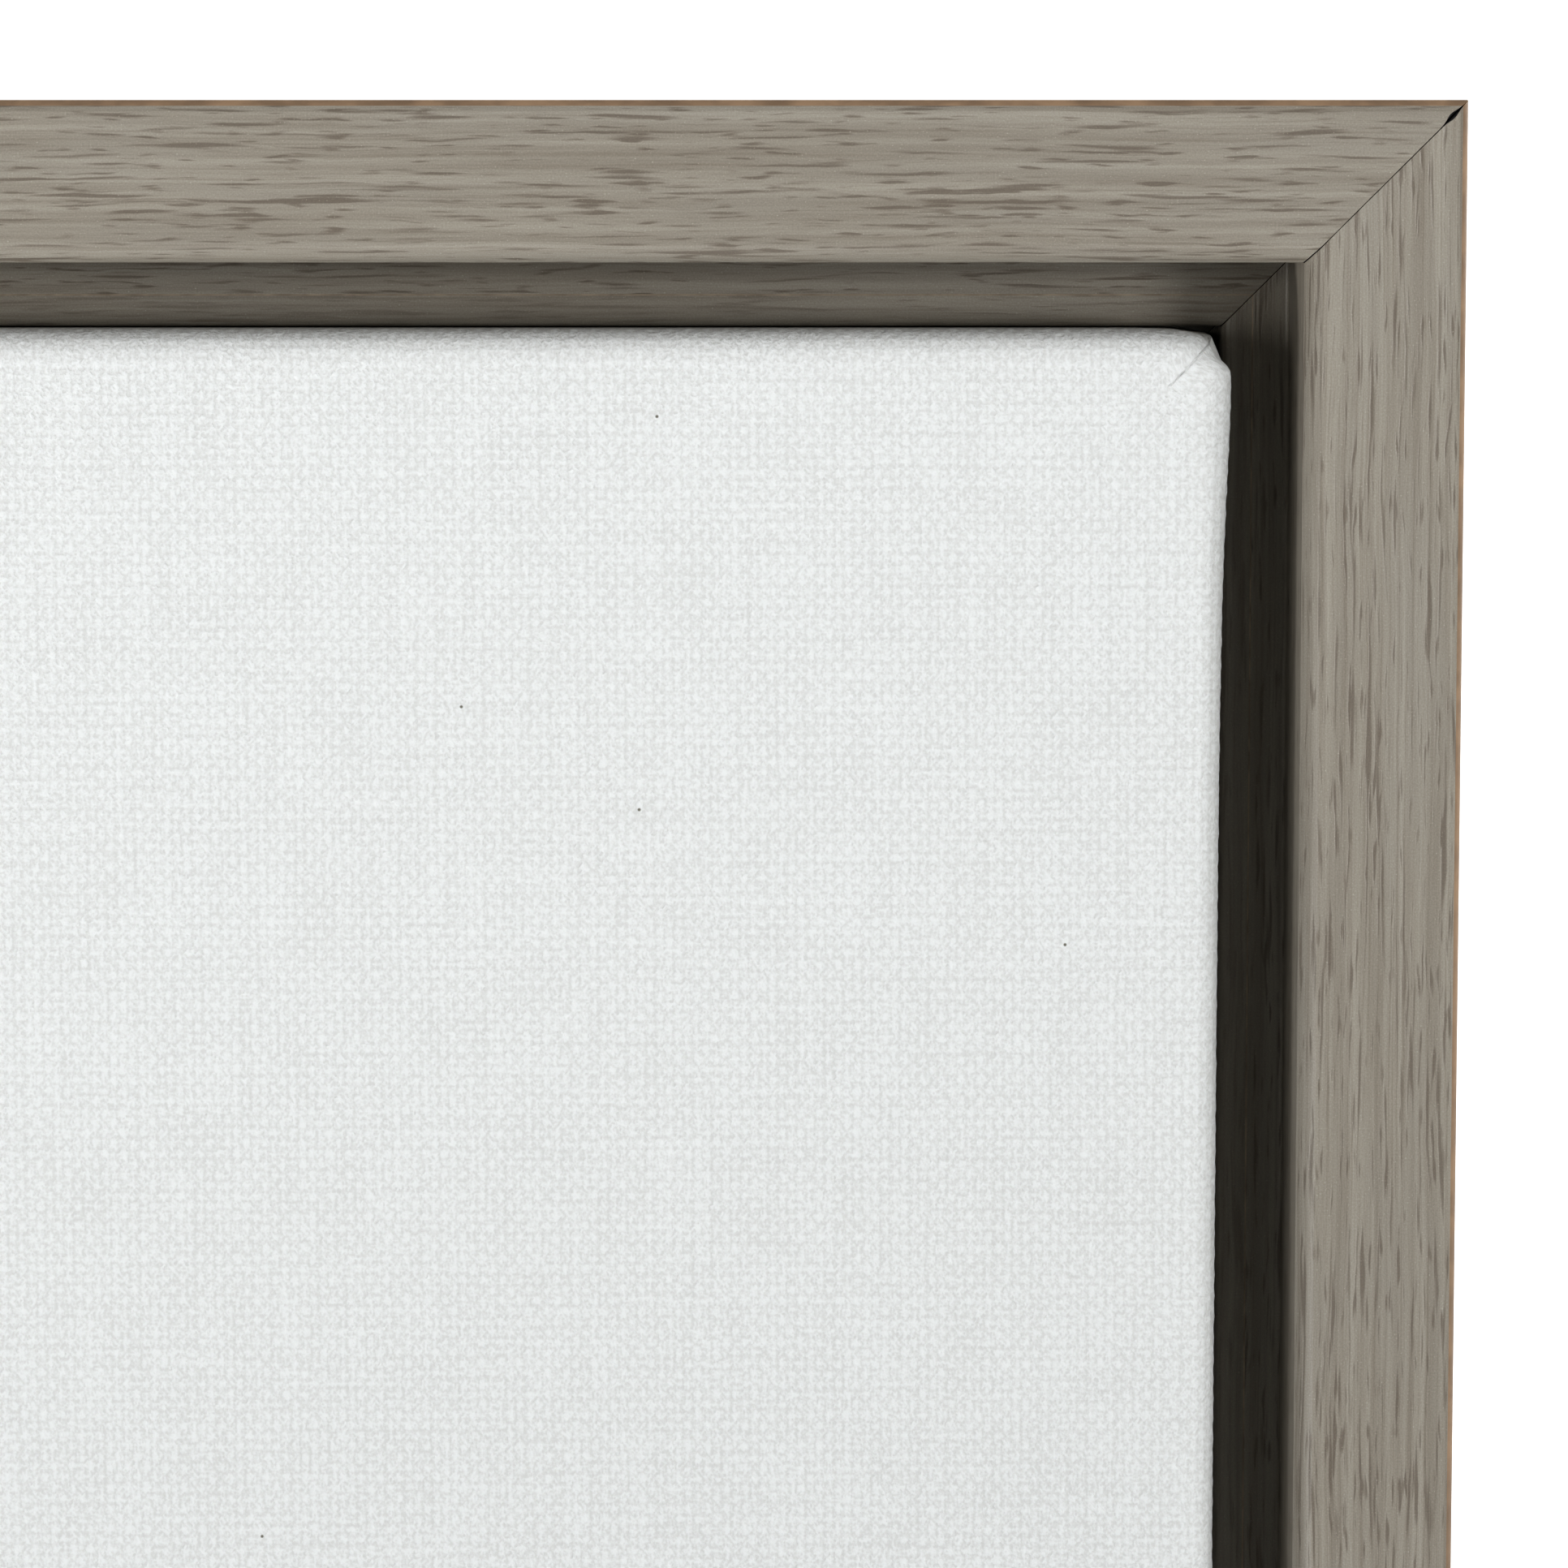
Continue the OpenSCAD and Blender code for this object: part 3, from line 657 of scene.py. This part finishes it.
def middle_grid(vertices, flat, counts):
    """Adds the open middle of the front, on a coarser grid joined to the rim's first row."""
    cols, rows = counts[0] // COARSE, counts[1] // COARSE
    total = sum(counts)
    half_w, half_h = CLOTH_W / 2 - RIM, CLOTH_H / 2 - RIM
    corner = {"top": 0, "right": counts[0], "bottom": total // 2, "left": total - counts[1]}
    edge = {}
    for i in range(cols + 1):
        edge[i, 0] = corner["top"] + COARSE * i
        edge[cols - i, rows] = corner["bottom"] + COARSE * i
    for j in range(rows + 1):
        edge[cols, j] = corner["right"] + COARSE * j
        edge[0, rows - j] = (corner["left"] + COARSE * j) % total
    grid = dict(edge)
    for j in range(1, rows):
        for i in range(1, cols):
            x = half_w * (2 * i / cols - 1)
            z = half_h * (1 - 2 * j / rows)
            hollow = HOLLOW * math.cos(math.pi * x / (2 * half_w)) * math.cos(math.pi * z / (2 * half_h))
            grid[i, j] = len(vertices)
            y = cloth_low.y + hollow + slack(x, MIDDLE_Z + z)
            vertices.append(Vector((x, y, MIDDLE_Z + z + CLOTH_RISE)))
            flat.append((x, MIDDLE_Z + z))
    faces = []
    for j in range(rows):
        for i in range(cols):
            corners = [(i, j), (i + 1, j), (i + 1, j + 1), (i, j + 1)]
            loop = []
            for start, end in zip(corners, corners[1:] + corners[:1]):
                loop.append(grid[start])
                if start in edge and end in edge:
                    step = (edge[end] - edge[start]) % total
                    if step == COARSE:
                        loop += [(edge[start] + k) % total for k in range(1, COARSE)]
            faces.append(tuple(loop))
    return faces


def make_canvas():
    """The primed cloth, stretched over the bars and folded in at the corners."""
    profile = cloth_profile()
    counts = [round(side / FINE / COARSE) * COARSE for side in (CLOTH_W, CLOTH_H)] * 2
    fine_rows = next(i for i, (_, back) in enumerate(profile) if back > FINE_BACK)
    vertices, flat = rim_points(profile, counts, fine_rows)
    total = sum(counts)
    faces = rim_faces([total if row < fine_rows else total // COARSE for row in range(len(profile))])
    faces += middle_grid(vertices, flat, counts)
    uv = [[flat[v] for v in face] for face in faces]
    piece = new_piece("canvas_sheet_look", vertices, faces, [PRIMED, COTTON], (), "cloth", uv)
    tidy_normals(piece)
    thicken(piece, CLOTH_T)
    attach(piece, "frame")
    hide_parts("canvas_sheet")


def thicken(piece, thickness):
    """Gives the sheet its back, of bare cotton, and bakes the modifier into the mesh."""
    solid = piece.modifiers.new("thickness", "SOLIDIFY")
    solid.thickness = thickness
    solid.offset = -1
    solid.material_offset = 1
    solid.material_offset_rim = 1
    solid.use_even_offset = True
    bpy.context.view_layer.update()
    graph = bpy.context.evaluated_depsgraph_get()
    made = bpy.data.meshes.new_from_object(piece.evaluated_get(graph))
    piece.modifiers.clear()
    piece.data = made


make_canvas()


# ---------------------------------------------------------------- carried-over CAD nodes
def dress(node, material):
    """Gives a CAD node its material."""
    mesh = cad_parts[node].data
    mesh.materials.clear()
    mesh.materials.append(material)


for place in SIDES:
    dress("stretcher_" + place, PINE["x" if place in ("top", "bottom") else "z"])
    dress("staples_" + place, ZINC)
    dress("canvas_screws_" + place, ZINC)
for corner in ("top_left", "top_right", "bottom_left", "bottom_right"):
    dress("v_nails_" + corner, NAIL)
    dress("keys_" + corner, BIRCH)
for hand in ("left", "right"):
    dress("hanger_strap_" + hand, NICKEL)
    dress("hanger_screws_" + hand, ZINC)
    dress("d_ring_" + hand, NICKEL)
    dress("bumper_" + hand, RUBBER)


# ---------------------------------------------------------------- stage and light
def make_floor():
    """A pale disc that fades out into the white surroundings."""
    radius, fade_from, fade_to = 1.5, 0.35, 1.0
    bpy.ops.mesh.primitive_circle_add(vertices=96, radius=radius, fill_type="NGON")
    floor = bpy.context.object
    floor.name = "floor"
    p = Paint("pale_floor", Roughness=0.8, Specular_IOR_Level=0.1)
    p.feed(p.shader.inputs["Base Color"], (0.86, 0.87, 0.88, 1))
    x, y, _ = p.split(p.place())
    away = p.math("SQRT", p.math("ADD", p.math("MULTIPLY", x, x), p.math("MULTIPLY", y, y)))
    clear = p.node("BsdfTransparent").outputs[0]
    gone = p.step(away, fade_from, fade_to)
    fade = p.node("MixShader", {0: gone, 1: p.shader.outputs[0], 2: clear})
    out = next(n for n in p.tree.nodes if n.type == "OUTPUT_MATERIAL")
    p.feed(out.inputs["Surface"], fade.outputs[0])
    floor.data.materials.append(p.mat)


def soft_light(name, place, aim, size, energy, colour=(1, 1, 1), glare=True):
    """A lamp the camera doesn't see. Without glare nothing glossy reflects it either."""
    lamp = bpy.data.lights.new(name, "AREA")
    lamp.shape = "RECTANGLE"
    lamp.size, lamp.size_y = size
    lamp.energy = energy
    lamp.color = colour
    made = bpy.data.objects.new(name, lamp)
    made.location = place
    made.rotation_euler = (Vector(aim) - Vector(place)).to_track_quat("-Z", "Y").to_euler()
    made.visible_camera = False
    made.visible_glossy = glare
    bpy.context.scene.collection.objects.link(made)


def studio_light(name, azimuth, elevation, energy, colour, glare=True):
    """A softbox aimed at the top right front corner, azimuth degrees to the right of straight on."""
    reach, width = 2.2, 0.5
    turn, lift = math.radians(azimuth), math.radians(elevation)
    way = Vector((math.sin(turn) * math.cos(lift), -math.cos(turn) * math.cos(lift), math.sin(lift)))
    corner = Vector((FRAME_W / 2, FACE_Y, FRAME_H))
    soft_light(name, corner + way * reach, corner, (width, width), energy, colour, glare)


def make_light():
    """Softboxes to both sides, none straight on, light off a white table, fills behind."""
    studio_light("softbox_right", 35, 0, 11, (1, 0.995, 0.99))
    studio_light("softbox_right_high", 35, 25, 7.8, (0.985, 0.995, 1), glare=False)
    studio_light("softbox_side_high", 80, 50, 21, (1, 0.99, 0.98), glare=False)
    studio_light("softbox_near", 20, 0, 2.7, (0.97, 0.99, 1))
    studio_light("softbox_left", -35, 0, 6.8, (1, 0.99, 0.98))
    studio_light("table_bounce_left", -55, -25, 29.5, (1, 1, 1))
    middle = (0, 0, MIDDLE_Z)
    soft_light("fill_back_left", (-1.1, 1.3, 0.9), middle, (0.9, 0.9), 12)
    soft_light("fill_back_right", (1.1, 1.4, 0.8), middle, (0.9, 0.9), 8)
    soft_light("overhead", (0, 0.3, 1.7), middle, (1.2, 1.2), 2)
    bpy.context.scene.view_settings.view_transform = "Standard"
    bpy.context.scene.view_settings.look = "High Contrast"


def make_surroundings():
    """A white backdrop. The camera sees it all round, reflections only low behind the frame."""
    world = bpy.data.worlds.new("white_surroundings")
    bpy.context.scene.world = world
    world.use_nodes = True
    world.cycles_visibility.diffuse = False
    nodes, links = world.node_tree.nodes, world.node_tree.links

    def ramp(value, low, high, to_low, to_high):
        """A straight slope, level past both ends."""
        made = nodes.new("ShaderNodeMapRange")
        links.new(value, made.inputs[0])
        for socket, number in enumerate((low, high, to_low, to_high), start=1):
            made.inputs[socket].default_value = number
        return made.outputs[0]

    way = nodes.new("ShaderNodeSeparateXYZ")
    links.new(nodes.new("ShaderNodeTexCoord").outputs["Generated"], way.inputs[0])
    behind_and_low = nodes.new("ShaderNodeMath")
    behind_and_low.operation = "MULTIPLY"
    links.new(ramp(way.outputs[1], 0.0, 0.35, 0.02, 1.0), behind_and_low.inputs[0])
    links.new(ramp(way.outputs[2], 0.12, 0.32, 1.0, 0.0), behind_and_low.inputs[1])
    reflected = nodes.new("ShaderNodeBackground")
    links.new(behind_and_low.outputs[0], reflected.inputs["Strength"])
    seen = nodes["Background"]
    for white in (reflected, seen):
        white.inputs["Color"].default_value = (1, 1, 1, 1)
    both = nodes.new("ShaderNodeMixShader")
    links.new(nodes.new("ShaderNodeLightPath").outputs["Is Camera Ray"], both.inputs[0])
    links.new(reflected.outputs[0], both.inputs[1])
    links.new(seen.outputs[0], both.inputs[2])
    links.new(both.outputs[0], nodes["World Output"].inputs["Surface"])


make_floor()
make_light()
make_surroundings()
